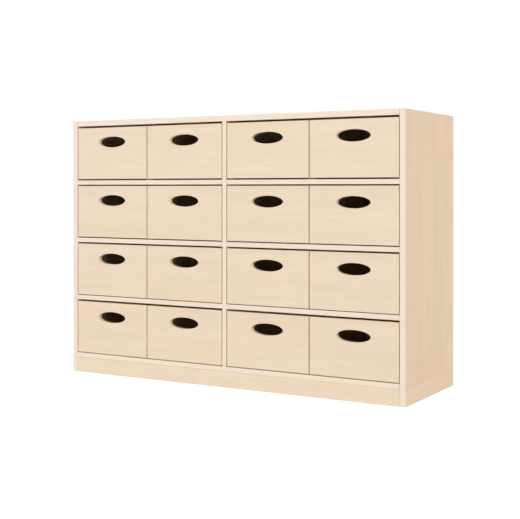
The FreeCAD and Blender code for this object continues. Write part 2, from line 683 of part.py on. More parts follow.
def tray_base():
    """The thin base of a tray, held in grooves on all four edges."""
    inside = f"({TRAY_BOX_WIDTH} - 2 * Sizes.tray_board)"
    run = f"({TRAY_BOX_LENGTH} - Sizes.tray_board)"
    base = slab("tray_base", f"{inside} + 2 * {BASE_BITE}", f"{run} + 2 * {BASE_BITE}",
                "Sizes.base_board")
    place(base, f"Sizes.tray_inset + Sizes.tray_board - {BASE_BITE}",
          f"Sizes.front_board - {BASE_BITE}", "Sizes.base_lift")
    return base


def trays():
    """A tray front and a tray box for each row, copied to every place of the row."""
    base = tray_base()
    columns = len(BAYS) * TRAYS_PER_BAY
    for row in range(1, ROWS + 1):
        level = ROWS - row
        front = tray_front(level)
        box = DOC.addObject("Part::Compound", f"tray_box_{level}")
        box.Links = [*tray_sides(level), tray_back(level), base]
        foot = f"{shelf_floor(level)} + Sizes.tray_float"
        for column in range(columns):
            bay, place_in_bay = divmod(column, TRAYS_PER_BAY)
            step = f"{place_in_bay} * ({TRAY_WIDTH} + Sizes.gap_between)"
            x = f"{bay_left(bay)} + Sizes.gap_side + {step}"
            y = f"{FRONT} + Sizes.tray_setback"
            name = f"tray_row{row}_col{column + 1}"
            kinds = (("front", front, front_lift(level)), ("box", box, "0"))
            for kind, source, lift in kinds:
                copy = DOC.addObject("Part::Compound", f"{name}_{kind}")
                copy.Links = [source]
                place(copy, x, y, f"{foot} + {lift}")
                keep(copy, f"{name}_{kind}")


def check_model():
    """Stop where a feature failed, a shape is unsound or a pocket removes nothing."""
    for item in DOC.Objects:
        if "Invalid" in item.State or "Error" in item.State:
            raise ValueError(f"{item.Name} failed: {item.State}")
        if item.TypeId == "PartDesign::Pocket":
            if item.Shape.Volume >= item.BaseFeature.Shape.Volume:
                raise ValueError(f"{item.Name} cuts nothing")
    for piece in PIECES:
        if piece.Shape.isNull() or not piece.Shape.isValid():
            raise ValueError(f"{piece.Label} has no sound shape")


def write_steps():
    """Write each piece to its own file, as one solid or a plain set of solids."""
    os.makedirs("parts", exist_ok=True)
    for piece in PIECES:
        solids = piece.Shape.Solids
        shape = solids[0] if len(solids) == 1 else Part.Compound(solids)
        shape.exportStep(f"parts/{piece.Label}.step")


fill_sheet()
side_panels()
top_panel()
bottom_panel()
centre_divider()
shelves()
shelf_pins()
back_panels()
carcass_lippings()
carcass_dowels()
plinth_boards()
plinth_dowels()
plinth_blocks()
plinth_screws()
trays()
DOC.recompute()
check_model()
write_steps()
print(f"{len(PIECES)} nodes")
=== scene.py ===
"""Looks of the classroom tray storage unit, laid out as an add-on and run as a script."""
import json
import math
from collections import namedtuple

import bpy
from bpy.props import FloatProperty, FloatVectorProperty, IntProperty, PointerProperty
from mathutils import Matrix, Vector


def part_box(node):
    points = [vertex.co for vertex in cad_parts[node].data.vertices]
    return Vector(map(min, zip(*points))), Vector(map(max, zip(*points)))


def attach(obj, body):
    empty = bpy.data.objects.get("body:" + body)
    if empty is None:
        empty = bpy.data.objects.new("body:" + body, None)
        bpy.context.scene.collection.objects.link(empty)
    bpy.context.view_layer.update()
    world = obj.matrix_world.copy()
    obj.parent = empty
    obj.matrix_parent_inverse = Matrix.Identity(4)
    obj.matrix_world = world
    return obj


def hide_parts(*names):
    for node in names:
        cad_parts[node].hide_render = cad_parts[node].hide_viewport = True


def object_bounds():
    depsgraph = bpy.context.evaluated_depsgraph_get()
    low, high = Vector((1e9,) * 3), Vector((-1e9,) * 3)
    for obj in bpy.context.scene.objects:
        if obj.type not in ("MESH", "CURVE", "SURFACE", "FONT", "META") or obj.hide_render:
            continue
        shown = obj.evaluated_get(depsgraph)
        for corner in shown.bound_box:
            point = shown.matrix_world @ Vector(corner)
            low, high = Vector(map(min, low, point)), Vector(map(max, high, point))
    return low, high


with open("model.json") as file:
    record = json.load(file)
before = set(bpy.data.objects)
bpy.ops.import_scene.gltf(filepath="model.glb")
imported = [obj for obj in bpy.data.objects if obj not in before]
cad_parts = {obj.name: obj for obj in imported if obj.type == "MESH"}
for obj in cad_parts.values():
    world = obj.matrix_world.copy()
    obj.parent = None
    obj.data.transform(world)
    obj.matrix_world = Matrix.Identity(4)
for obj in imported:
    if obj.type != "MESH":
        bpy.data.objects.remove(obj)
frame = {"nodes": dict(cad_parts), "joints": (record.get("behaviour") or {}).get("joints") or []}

bl_info = {
    "name": "Tray Storage Unit Finish",
    "version": (1, 0, 0),
    "blender": (4, 5, 0),
    "location": "3D View > Sidebar > Tray Unit",
    "description": "Finishes the boards and trays of the storage unit and sets up its stage",
    "category": "Object",
}

CAD_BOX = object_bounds()
NODES = frame["nodes"]
IMAGE_WIDTH_PX = 520
SENSOR_WIDTH_MM = 36.0

ALONG_X = (1.0, 0.0, 0.0)
ALONG_Y = (0.0, 1.0, 0.0)
ALONG_Z = (0.0, 0.0, 1.0)

# Noise patterns in the wood: shift of the seed, octaves of detail, and the range of the noise
# over which the pattern comes up from nothing to full strength.
Pattern = namedtuple("Pattern", "seed_shift detail low high")
FIGURE = Pattern(0.0, 2.5, 0.32, 0.68)
FIBRE = Pattern(3.1, 2.0, 0.40, 0.75)
PORE = Pattern(5.3, 1.0, 0.60, 0.70)
STREAK = Pattern(7.7, 2.0, 0.35, 0.70)
DRIFT = Pattern(9.4, 1.0, 0.35, 0.65)
FIGURE_BEND = 0.35
GROWTH_SHARPNESS = 3.0

# Marks that the patterns leave: how much of each shows, its tone beside the board's, its warmth.
Mark = namedtuple("Mark", "share tone warmth")
GROWTH_MARK = Mark(0.30, 0.86, 0.035)
STREAK_MARK = Mark(0.42, 0.91, 0.02)
FIBRE_MARK = Mark(0.40, 0.88, 0.02)
PORE_MARK = Mark(0.40, 0.70, 0.06)

# Broad bands: how far they are from the board's tone, and their warmth.
DARK_BAND = (-0.035, 0.012)
LIGHT_BAND = (0.030, -0.008)
DRIFT_STRENGTH = 0.014

# Tones beside that of the board, and their warmth. The arris tone is painted shade along board
# edges, standing in for the shadow in seams and gaps.
ARRIS_PAINTED_SHADE = (0.62, 0.18)
JOINT_TONE = (0.10, 0.30)
DARK_PLY_TONE = (0.62, 0.10)
LIGHT_PLY_TONE = (1.12, 0.0)

# Lacquer: relief of the grain, roughness around that of the timber, and gloss.
RELIEF_STRENGTH = 0.35
ROUGH_RANGE = (0.30, 0.75)
SMOOTHER = 0.05
ROUGHER = 0.07
SPECULAR_LEVEL = 0.30
COAT_ROUGHNESS = 0.45

# Sealed edges of the tray fronts: full colour up to the first distance, none past the second.
SEALED_RIM = (0.0002, 0.0005)
# Softness of the lines between plies, and the upward slope at which the plies are seen.
PLY_BLUR = 0.25
UPWARD_RANGE = (0.25, 0.55)

# Zinc plating: size, detail, tones, range and roughness of its blotches.
BLOTCH_SIZE = 0.004
BLOTCH_DETAIL = 3.0
BLOTCH_TONES = (0.82, 1.12)
BLOTCH_RANGE = (0.3, 0.7)
BLOTCH_ROUGHNESS = (0.26, 0.42)

# Distance in the noise between one board and the next.
SEED_STEP = 1.7
# Grain of the faced board of the carcass and of the plinth's sides.
CARCASS_GRAIN = {"contrast": 1.6, "lines": 0.5, "coarse": 1.5}
# Grain of the lippings, and the strength of the painted shade along their edges.
LIPPING_GRAIN = {"contrast": 0.4, "lines": 0.3, "arris": 0.4}

SCREW_SIDES = 32
RIM_SHARE_OF_RECESS = 1 / 8
RIM_SEGMENTS = 2
RIM_ANGLE = math.radians(35)
SMOOTH_ANGLE = math.radians(30)

# Lamps: turn to the right of the front and rise, in degrees, and the setting of their light.
LAMPS = (
    ("front lamp", -30.0, 16.0, "front_light"),
    ("right lamp", 62.0, 16.5, "right_light"),
    ("left lamp", -105.0, 25.0, "left_light"),
    ("rear lamp", 170.0, 30.0, "rear_light"),
    ("top lamp", 0.0, 80.0, "top_light"),
)
LAMP_COLOUR = (1.0, 0.997, 0.992)
AMBIENT_COLOUR = (1.0, 0.99, 0.975, 1.0)
WHITE = (1.0, 1.0, 1.0, 1.0)

# Floor: size and tints of its mottle, its colour to other surfaces, its own light, and the
# distances over which it passes into the backdrop.
MOTTLE_SIZE = 0.5
MOTTLE_DETAIL = 2.0
MOTTLE_TINTS = ((0.50, 0.50, 0.495, 1.0), (0.52, 0.52, 0.515, 1.0))
FLOOR_COLOUR = (0.86, 0.85, 0.83, 1.0)
FLOOR_LIFT = 0.72
FLOOR_FADE = (1.2, 3.0)
CLIP_END = 200.0


def colour_property(name, description, default):
    """A colour that a user may change, in linear RGB."""
    return FloatVectorProperty(name=name, description=description, default=default,
                               subtype="COLOR", size=3, min=0.0, max=1.0)


class WoodTones(bpy.types.PropertyGroup):
    """Colours of the boards, trays and small parts."""

    tray_front: colour_property("Tray fronts", "Faced board of the tray fronts",
                                (0.86, 0.715, 0.555))
    front_edge: colour_property("Tray front edges", "Sealed edges of the tray fronts",
                                (0.66, 0.46, 0.28))
    lipping: colour_property("Lippings", "Pale strips on the front edges",
                             (0.885, 0.76, 0.635))
    carcass: colour_property("Carcass", "Faced board of sides, top, shelves and divider",
                             (0.843, 0.66, 0.493))
    plinth: colour_property("Plinth", "Faced board of the plinth", (0.86, 0.72, 0.56))
    plinth_side: colour_property("Plinth sides", "Faced board of the plinth's two sides",
                                 (0.835, 0.655, 0.487))
    back_panel: colour_property("Back panels", "Thin board behind the bays", (0.77, 0.615, 0.44))
    tray_box: colour_property("Tray boxes", "Plywood of tray sides, backs and bases",
                              (0.83, 0.68, 0.52))
    softwood: colour_property("Blocks", "Softwood of the plinth blocks", (0.70, 0.50, 0.28))
    dowel: colour_property("Dowels", "Bare beech of the dowels", (0.58, 0.36, 0.20))
    steel: colour_property("Fittings", "Zinc-plated pins and screws", (0.62, 0.63, 0.65))


class GrainSizes(bpy.types.PropertyGroup):
    """Sizes of the grain and strength of its relief."""

    figure_width: FloatProperty(name="Figure width", description="Width of the broad bands",
                                default=0.055, unit="LENGTH")
    figure_length: FloatProperty(name="Figure length", description="Length of the broad bands",
                                 default=0.75, unit="LENGTH")
    fibre_width: FloatProperty(name="Fibre width", description="Width of the fine fibres",
                               default=0.0016, unit="LENGTH")
    fibre_length: FloatProperty(name="Fibre length", description="Length of the fine fibres",
                                default=0.060, unit="LENGTH")
    streak_width: FloatProperty(name="Streak width", description="Width of the soft streaks",
                                default=0.011, unit="LENGTH")
    streak_length: FloatProperty(name="Streak length", description="Length of the soft streaks",
                                 default=0.30, unit="LENGTH")
    pore_width: FloatProperty(name="Pore width", description="Width of a pore",
                              default=0.0006, unit="LENGTH", precision=4)
    pore_length: FloatProperty(name="Pore length", description="Length of a pore",
                               default=0.011, unit="LENGTH")
    ring_count: FloatProperty(name="Rings", description="Growth lines in one broad band",
                              default=9.0)
    drift_width: FloatProperty(name="Drift width", description="Width of the patches of hue",
                               default=0.11, unit="LENGTH")
    drift_length: FloatProperty(name="Drift length", description="Length of the patches of hue",
                                default=0.44, unit="LENGTH")
    # Width of the painted shade along board edges, which stands in for the shadow in seams and
    # gaps.
    arris_width: FloatProperty(name="Arris width", description="Darker line along board edges",
                               default=0.0010, unit="LENGTH", precision=4)
    relief: FloatProperty(name="Relief", description="Depth of the grain in the lacquer",
                          default=0.00006, unit="LENGTH", precision=6)
    plies: IntProperty(name="Plies", description="Layers in a plywood edge", default=7)


class ScrewSizes(bpy.types.PropertyGroup):
    """Sizes of the countersunk screws under the plinth."""

    head_radius: FloatProperty(name="Head radius", description="Radius of the screw head",
                               default=0.005, unit="LENGTH")
    head_height: FloatProperty(name="Head height", description="Height of the countersunk head",
                               default=0.003, unit="LENGTH")
    shank_radius: FloatProperty(name="Shank radius", description="Radius of the plain shank",
                                default=0.0025, unit="LENGTH")
    recess_length: FloatProperty(name="Recess length", description="Length of the cross recess",
                                 default=0.0052, unit="LENGTH")
    recess_width: FloatProperty(name="Recess width", description="Width of one recess arm",
                                default=0.0011, unit="LENGTH")
    recess_depth: FloatProperty(name="Recess depth", description="Depth of the cross recess",
                                default=0.0018, unit="LENGTH")


class StageSettings(bpy.types.PropertyGroup):
    """Camera, lamps and floor."""

    focal_length_px: FloatProperty(name="Focal length", default=1060.2,
                                   description="Focal length in pixels of a 520 pixel image")
    turn: FloatProperty(name="Turn", description="Turn of the camera about the upright axis",
                        default=math.radians(30.15), subtype="ANGLE")
    corner_right: FloatProperty(name="Right of the corner", default=1.1816, unit="LENGTH",
                                description="Camera to the right of the front right corner")
    corner_front: FloatProperty(name="In front of the corner", default=2.8754, unit="LENGTH",
                                description="Camera in front of the front right corner")
    eye_height: FloatProperty(name="Eye height", default=0.6372, unit="LENGTH",
                              description="Camera above the floor")
    frame_shift: FloatProperty(name="Frame shift", default=-0.1368,
                               description="Vertical shift that keeps the uprights parallel")
    ambient: FloatProperty(name="Ambient", default=0.18,
                           description="Strength of the even light from all round")
    front_light: FloatProperty(name="Front light", default=0.38,
                               description="Share of full light from the lamp in front")
    right_light: FloatProperty(name="Right light", default=0.55,
                               description="Share of full light from the lamp on the right")
    left_light: FloatProperty(name="Left light", default=0.25,
                              description="Share of full light from the lamp on the left")
    rear_light: FloatProperty(name="Rear light", default=0.30,
                              description="Share of full light from the lamp behind")
    top_light: FloatProperty(name="Top light", default=0.20,
                             description="Share of full light from the lamp overhead")
    lamp_distance: FloatProperty(name="Lamp distance", default=20.0, unit="LENGTH",
                                 description="Each lamp to the middle of the unit")
    lamp_size: FloatProperty(name="Lamp size", default=11.5, unit="LENGTH",
                             description="Side of a square lamp")
    floor_size: FloatProperty(name="Floor size", default=60.0, unit="LENGTH",
                              description="Side of the square floor")


def tones():
    """Colours as set in the scene."""
    return bpy.context.scene.tray_unit_tones


def grain_sizes():
    """Sizes of the grain as set in the scene."""
    return bpy.context.scene.tray_unit_grain


def put(tree, kind, inputs=None, **settings):
    """Add a node; inputs holds values or sockets to link, settings its other options."""
    node = tree.nodes.new(kind)
    for key, value in settings.items():
        setattr(node, key, value)
    for socket, value in (inputs or {}).items():
        if isinstance(value, bpy.types.NodeSocket):
            tree.links.new(value, node.inputs[socket])
        else:
            node.inputs[socket].default_value = value
    return node


def maths(tree, operation, first, second=0.0):
    """The result of one calculation on two values or sockets."""
    node = put(tree, "ShaderNodeMath", {0: first, 1: second}, operation=operation)
    return node.outputs[0]


def spread(tree, value, low, high, new_low=0.0, new_high=1.0):
    """A value moved from one range to another and kept inside it."""
    limits = {"Value": value, "From Min": low, "From Max": high,
              "To Min": new_low, "To Max": new_high}
    return put(tree, "ShaderNodeMapRange", limits).outputs["Result"]


def blend_colours(tree, share, first, second, blend_type="MIX"):
    """Two colours mixed by a share from 0 to 1."""
    node = put(tree, "ShaderNodeMix", {0: share, 6: first, 7: second}, data_type="RGBA",
               blend_type=blend_type)
    return node.outputs[2]


def shade(colour, factor, warmth=0.0):
    """A lighter or darker tone of a colour; warmth takes blue away and gives red."""
    red, green, blue = colour
    tone = (red * factor * (1 + warmth), green * factor, blue * factor * (1 - warmth))
    return (*[min(max(part, 0.0), 1.0) for part in tone], 1.0)


def stretched(tree, vector, along, length, width):
    """Coordinates in units of one grain mark: long along the grain, narrow across it."""
    scale = [1.0 / length if axis else 1.0 / width for axis in along]
    node = put(tree, "ShaderNodeVectorMath", {0: vector, 1: scale}, operation="MULTIPLY")
    return node.outputs[0]


def noise(tree, vector, seed, detail, distortion=0.0):
    """Noise from 0 to 1; each seed gives another piece of timber."""
    inputs = {"Vector": vector, "W": seed, "Scale": 1.0, "Detail": detail,
              "Roughness": 0.55, "Distortion": distortion}
    return put(tree, "ShaderNodeTexNoise", inputs, noise_dimensions="4D").outputs[0]


def board_coordinates(tree, corner):
    """Coordinates counted from a corner of the piece."""
    source = put(tree, "ShaderNodeTexCoord").outputs["Object"]
    back = [-value for value in corner]
    return put(tree, "ShaderNodeMapping", {"Vector": source, "Location": back}).outputs[0]


class Timber:
    """One kind of timber: its tone, contrast, sheen and the size of its grain."""

    def __init__(self, tone, contrast=1.0, lines=1.0, roughness=0.50, lacquer=0.15, coarse=1.0,
                 arris=0.8, butt_ends=0.0):
        self.tone = tone
        self.contrast = contrast
        self.lines = lines
        self.roughness = roughness
        self.lacquer = lacquer
        self.coarse = coarse
        # Strength of the painted shade along the board's edges, standing in for the shadow in
        # seams and gaps.
        self.arris = arris
        self.butt_ends = butt_ends


def tinted(tree, colour, share, first, second):
    """A colour multiplied by a tint that runs from a first to a second."""
    tint = blend_colours(tree, share, (*first, 1.0), (*second, 1.0))
    return blend_colours(tree, 1.0, colour, tint, blend_type="MULTIPLY")


def draw_pattern(tree, place, pattern, length, width, bend=0.0):
    """Noise of one pattern, drawn out along the grain; place is vector, grain and seed."""
    vector, along, seed = place
    return noise(tree, stretched(tree, vector, along, length, width),
                 seed + pattern.seed_shift, pattern.detail, bend)


def shown(tree, value, pattern):
    """How far a pattern has come up, from 0 to 1."""
    return spread(tree, value, pattern.low, pattern.high)


def broad_bands(tree, timber, figure):
    """Colour of the broad darker and lighter bands."""
    tints = [shade(timber.tone, 1 + change * timber.contrast, warmth)
             for change, warmth in (DARK_BAND, LIGHT_BAND)]
    return blend_colours(tree, shown(tree, figure, FIGURE), *tints)


def growth_lines(tree, figure):
    """Narrow lines that follow the broad bands."""
    rings = maths(tree, "MULTIPLY", figure, grain_sizes().ring_count * math.tau)
    wave = spread(tree, maths(tree, "SINE", rings), -1.0, 1.0)
    return maths(tree, "POWER", wave, GROWTH_SHARPNESS)


def add_mark(tree, timber, colour, mark, pattern):
    """A colour with one kind of mark on it, wherever its pattern is shown."""
    share = maths(tree, "MULTIPLY", pattern, mark.share * timber.lines * timber.contrast)
    return blend_colours(tree, share, colour, shade(timber.tone, mark.tone, mark.warmth))


def add_drift(tree, timber, colour, drift):
    """A colour that drifts a little between red and green over a board."""
    less = 1.0 - DRIFT_STRENGTH * timber.contrast
    return tinted(tree, colour, shown(tree, drift, DRIFT), (1.0, less, less), (less, 1.0, less))


def timber_layers(tree, timber, vector, along, seed):
    """Colour, fibre pattern and pore pattern of a board."""
    sizes = grain_sizes()
    place = (vector, along, seed)
    figure = draw_pattern(tree, place, FIGURE, sizes.figure_length,
                          sizes.figure_width * timber.coarse, FIGURE_BEND)
    fibre = draw_pattern(tree, place, FIBRE, sizes.fibre_length,
                         sizes.fibre_width * timber.coarse)
    streak = draw_pattern(tree, place, STREAK, sizes.streak_length,
                          sizes.streak_width * timber.coarse)
    pore = draw_pattern(tree, place, PORE, sizes.pore_length, sizes.pore_width)
    drift = draw_pattern(tree, place, DRIFT, sizes.drift_length, sizes.drift_width)
    pores = shown(tree, pore, PORE)
    colour = broad_bands(tree, timber, figure)
    for mark, pattern in ((GROWTH_MARK, growth_lines(tree, figure)),
                          (STREAK_MARK, shown(tree, streak, STREAK)),
                          (FIBRE_MARK, shown(tree, fibre, FIBRE)),
                          (PORE_MARK, pores)):
        colour = add_mark(tree, timber, colour, mark, pattern)
    return add_drift(tree, timber, colour, drift), fibre, pores


def start_material(name):
    """An empty node material."""
    material = bpy.data.materials.new(name)
    material.use_nodes = True
    material.node_tree.nodes.clear()
    return material


def finish_surface(tree, timber, colour, fibre, pores):
    """Lacquered surface with the fibres faintly raised and the pores sunk."""
    height = maths(tree, "SUBTRACT", fibre, pores)
    relief = put(tree, "ShaderNodeBump", {"Height": height, "Strength": RELIEF_STRENGTH,
                                          "Distance": grain_sizes().relief})
    rough = spread(tree, fibre, *ROUGH_RANGE, timber.roughness - SMOOTHER,
                   timber.roughness + ROUGHER)
    surface = put(tree, "ShaderNodeBsdfPrincipled",
                  {"Base Color": colour, "Roughness": rough, "Normal": relief.outputs[0],
                   "Specular IOR Level": SPECULAR_LEVEL, "Coat Weight": timber.lacquer,
                   "Coat Roughness": COAT_ROUGHNESS})
    put(tree, "ShaderNodeOutputMaterial", {"Surface": surface.outputs[0]})


def edge_gaps(tree, vector, size):
    """Distance along each axis from a point of a board to the nearer of its two ends."""
    gaps = []
    parts = put(tree, "ShaderNodeSeparateXYZ", {0: vector}).outputs
    for part, length in zip(parts, size):
        rest = maths(tree, "SUBTRACT", length, part)
        gaps.append(maths(tree, "MINIMUM", part, rest))
    return gaps


def arris(tree, gaps):
    """1 on the outer edges of a board, where two of its faces meet, and 0 on its faces: the mask
    of the painted edge shade.
    """
    x, y, z = gaps
    nearer = maths(tree, "MINIMUM", x, y)
    farther = maths(tree, "MAXIMUM", x, y)
    second = maths(tree, "MAXIMUM", nearer, maths(tree, "MINIMUM", farther, z))
    return spread(tree, second, 0.0, grain_sizes().arris_width, 1.0, 0.0)


def board_layers(tree, timber, box, along, seed):
    """Colour and patterns of a board, with painted shade on its arrises, and its coordinates."""
    low, high = box
    vector = board_coordinates(tree, low)
    colour, fibre, pores = timber_layers(tree, timber, vector, along, seed)
    gaps = edge_gaps(tree, vector, high - low)
    # Painted shade along the arrises, standing in for the shadow in seams and gaps between
    # boards.
    painted_edge_shade = shade(timber.tone, *ARRIS_PAINTED_SHADE)
    share = maths(tree, "MULTIPLY", arris(tree, gaps), timber.arris)
    colour = blend_colours(tree, share, colour, painted_edge_shade)
    if timber.butt_ends:
        end_gap = gaps[along.index(1.0)]
        share = spread(tree, end_gap, 0.0, grain_sizes().arris_width, timber.butt_ends, 0.0)
        colour = blend_colours(tree, share, colour, shade(timber.tone, *JOINT_TONE))
    return gaps, colour, fibre, pores


def timber_material(name, timber, box, along, seed):
    """Material of a board whose grain runs one way."""
    material = start_material(name)
    tree = material.node_tree
    _, colour, fibre, pores = board_layers(tree, timber, box, along, seed)
    finish_surface(tree, timber, colour, fibre, pores)
    return material


def tray_front_material(name, timber, edge_tone, box, seed):
    """Faced board with level grain and browner sealed edges round its outline."""
    material = start_material(name)
    tree = material.node_tree
    (x, _, z), colour, fibre, pores = board_layers(tree, timber, box, ALONG_X, seed)
    rim = spread(tree, maths(tree, "MINIMUM", x, z), *SEALED_RIM, 1.0, 0.0)
    colour = blend_colours(tree, rim, colour, (*edge_tone, 1.0))
    finish_surface(tree, timber, colour, fibre, pores)
    return material


def between(tree, value, low, high):
    """1 where a value lies between two limits, and 0 elsewhere."""
    above = maths(tree, "GREATER_THAN", value, low)
    below = maths(tree, "LESS_THAN", value, high)
    return maths(tree, "MULTIPLY", above, below)


def ply_lines(tree, value, start, thickness):
    """Alternate light and dark layers across a plywood edge."""
    count = grain_sizes().plies
    offset = maths(tree, "SUBTRACT", value, start)
    turns = maths(tree, "MULTIPLY", offset, math.pi * count / thickness)
    wave = maths(tree, "SINE", turns)
    return spread(tree, wave, -PLY_BLUR, PLY_BLUR)


def tray_box_material(name, timber, low, high, board, seed):
    """Plywood of a tray box, with its layers showing on the top edges of sides and back."""
    material = start_material(name)
    tree = material.node_tree
    vector = board_coordinates(tree, low)
    colour, fibre, pores = timber_layers(tree, timber, vector, ALONG_Y, seed)
    size = high - low
    x, y, z = put(tree, "ShaderNodeSeparateXYZ", {0: vector}).outputs
    on_left = between(tree, x, 0.0, board)
    on_right = between(tree, x, size.x - board, size.x)
    on_sides = maths(tree, "ADD", on_left, on_right)
    left_lines = ply_lines(tree, x, 0.0, board)
    right_lines = ply_lines(tree, x, size.x - board, board)
    side_lines = maths(tree, "ADD", maths(tree, "MULTIPLY", left_lines, on_left),
                       maths(tree, "MULTIPLY", right_lines, on_right))
    back_lines = maths(tree, "MULTIPLY", ply_lines(tree, y, size.y - board, board),
                       maths(tree, "SUBTRACT", 1.0, on_sides))
    layers = maths(tree, "ADD", side_lines, back_lines)
    normal = put(tree, "ShaderNodeNewGeometry").outputs["Normal"]
    facing_up = put(tree, "ShaderNodeSeparateXYZ", {0: normal}).outputs[2]
    near_top = maths(tree, "GREATER_THAN", z, size.z - board)
    on_edge = maths(tree, "MULTIPLY", spread(tree, facing_up, *UPWARD_RANGE), near_top)
    edge = blend_colours(tree, layers, shade(timber.tone, *DARK_PLY_TONE),
                         shade(timber.tone, *LIGHT_PLY_TONE))
    colour = blend_colours(tree, on_edge, colour, edge)
    finish_surface(tree, timber, colour, fibre, pores)
    return material


def steel_material(name, tone, seed):
    """Zinc plating with faint blotches."""
    material = start_material(name)
    tree = material.node_tree
    vector = board_coordinates(tree, (0.0, 0.0, 0.0))
    blotch = noise(tree, stretched(tree, vector, ALONG_X, BLOTCH_SIZE, BLOTCH_SIZE), seed,
                   BLOTCH_DETAIL)
    colour = blend_colours(tree, blotch, *[shade(tone, factor) for factor in BLOTCH_TONES])
    rough = spread(tree, blotch, *BLOTCH_RANGE, *BLOTCH_ROUGHNESS)
    surface = put(tree, "ShaderNodeBsdfPrincipled",
                  {"Base Color": colour, "Roughness": rough, "Metallic": 1.0})
    put(tree, "ShaderNodeOutputMaterial", {"Surface": surface.outputs[0]})
    return material


def dress(node, material):
    """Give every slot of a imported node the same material."""
    slots = NODES[node].material_slots
    if not slots:
        NODES[node].data.materials.append(material)
    for slot in slots:
        slot.material = material


def seed_of(node):
    """A seed of its own for each node, from its place in the sorted list of nodes."""
    return SEED_STEP * sorted(NODES).index(node)


def dress_boards(names, timber, along):
    """Finish boards with one kind of timber, each cut from another place."""
    for node in names:
        material = timber_material(f"{node} timber", timber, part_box(node), along,
                                   seed_of(node))
        dress(node, material)


def nodes_named(*starts):
    """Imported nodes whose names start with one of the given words."""
    return sorted(node for node in NODES if node.startswith(starts))


def tray_bodies():
    """Names of the bodies that slide: one for each tray."""
    return sorted(joint["child"] for joint in frame["joints"])


class TRAYUNIT_OT_finish_carcass(bpy.types.Operator):
    """Finish the sides, top, bottom, divider and shelves"""

    bl_idname = "trayunit.finish_carcass"
    bl_label = "Finish Carcass"

    def execute(self, context):
        timber = Timber(tones().carcass, roughness=0.80, lacquer=0.0, **CARCASS_GRAIN)
        dress_boards(nodes_named("side_left", "side_right", "centre_divider"), timber, ALONG_Z)
        dress_boards(["top_panel", "bottom_panel"], timber, ALONG_X)
        dress_boards(nodes_named("shelf_left", "shelf_right"), timber, ALONG_X)
        return {"FINISHED"}


class TRAYUNIT_OT_finish_lippings(bpy.types.Operator):
    """Finish the pale strips on the front edges"""

    bl_idname = "trayunit.finish_lippings"
    bl_label = "Finish Lippings"

    def execute(self, context):
        timber = Timber(tones().lipping, **LIPPING_GRAIN)
        jointed = Timber(tones().lipping, butt_ends=1.0, **LIPPING_GRAIN)
        dress_boards(["side_lippings", "divider_lipping", "plinth_lippings"], timber, ALONG_Z)
        dress_boards(["shelf_lippings"], timber, ALONG_X)
        dress_boards(["top_lipping", "bottom_lipping"], jointed, ALONG_X)
        return {"FINISHED"}


class TRAYUNIT_OT_finish_plinth(bpy.types.Operator):
    """Finish the plinth boards and the blocks inside the plinth"""

    bl_idname = "trayunit.finish_plinth"
    bl_label = "Finish Plinth"

    def execute(self, context):
        timber = Timber(tones().plinth, contrast=0.9)
        dress_boards(["plinth_front", "plinth_rear"], timber, ALONG_X)
        sides = Timber(tones().plinth_side, arris=0.2, **CARCASS_GRAIN)
        dress_boards(["plinth_left", "plinth_right"], sides, ALONG_Y)
        softwood = Timber(tones().softwood, contrast=2.2, roughness=0.62, lacquer=0.0)
        dress_boards(["plinth_blocks"], softwood, ALONG_Z)
        return {"FINISHED"}


class TRAYUNIT_OT_finish_back_panels(bpy.types.Operator):
    """Finish the two thin back panels"""

    bl_idname = "trayunit.finish_back_panels"
    bl_label = "Finish Back Panels"

    def execute(self, context):
        timber = Timber(tones().back_panel, contrast=0.8, roughness=0.55, lacquer=0.1)
        dress_boards(nodes_named("back_panel"), timber, ALONG_Z)
        return {"FINISHED"}


class TRAYUNIT_OT_finish_tray_fronts(bpy.types.Operator):
    """Finish the front boards of the trays"""

    bl_idname = "trayunit.finish_tray_fronts"
    bl_label = "Finish Tray Fronts"

    def execute(self, context):
        timber = Timber(tones().tray_front, contrast=1.0, lines=0.8)
        for body in tray_bodies():
            node = f"{body}_front"
            material = tray_front_material(f"{node} timber", timber, tones().front_edge,
                                           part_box(node), seed_of(node))
            dress(node, material)
        return {"FINISHED"}


class TRAYUNIT_OT_finish_tray_boxes(bpy.types.Operator):
    """Finish the sides, back and base of each tray"""

    bl_idname = "trayunit.finish_tray_boxes"
    bl_label = "Finish Tray Boxes"

    board: FloatProperty(name="Board", description="Thickness of the tray sides",
                         default=0.010, unit="LENGTH")

    def execute(self, context):
        timber = Timber(tones().tray_box, contrast=1.2, roughness=0.55, lacquer=0.1)
        for body in tray_bodies():
            node = f"{body}_box"
            low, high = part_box(node)
            material = tray_box_material(f"{node} plywood", timber, low, high, self.board,
                                         seed_of(node))
            dress(node, material)
        return {"FINISHED"}


class TRAYUNIT_OT_finish_fittings(bpy.types.Operator):
    """Finish the shelf pins and the dowels"""

    bl_idname = "trayunit.finish_fittings"
    bl_label = "Finish Fittings"

    def execute(self, context):
        dress("shelf_pins", steel_material("shelf pin steel", tones().steel, 2.0))
        beech = Timber(tones().dowel, contrast=1.4, roughness=0.6, lacquer=0.0)
        dress_boards(["carcass_dowels", "plinth_dowels"], beech, ALONG_X)
        return {"FINISHED"}


def select_only(thing):
    """Deselect everything, then select and activate one object."""
    bpy.ops.object.select_all(action="DESELECT")
    thing.select_set(True)
    bpy.context.view_layer.objects.active = thing


def top_face(thing):
    """In edit mode, select only the uppermost face."""
    bpy.ops.mesh.select_all(action="DESELECT")
    bpy.ops.object.mode_set(mode="OBJECT")
    highest = max(thing.data.polygons, key=lambda face: face.center.z)
    highest.select = True
    bpy.ops.object.mode_set(mode="EDIT")
    bpy.ops.mesh.select_mode(type="FACE")


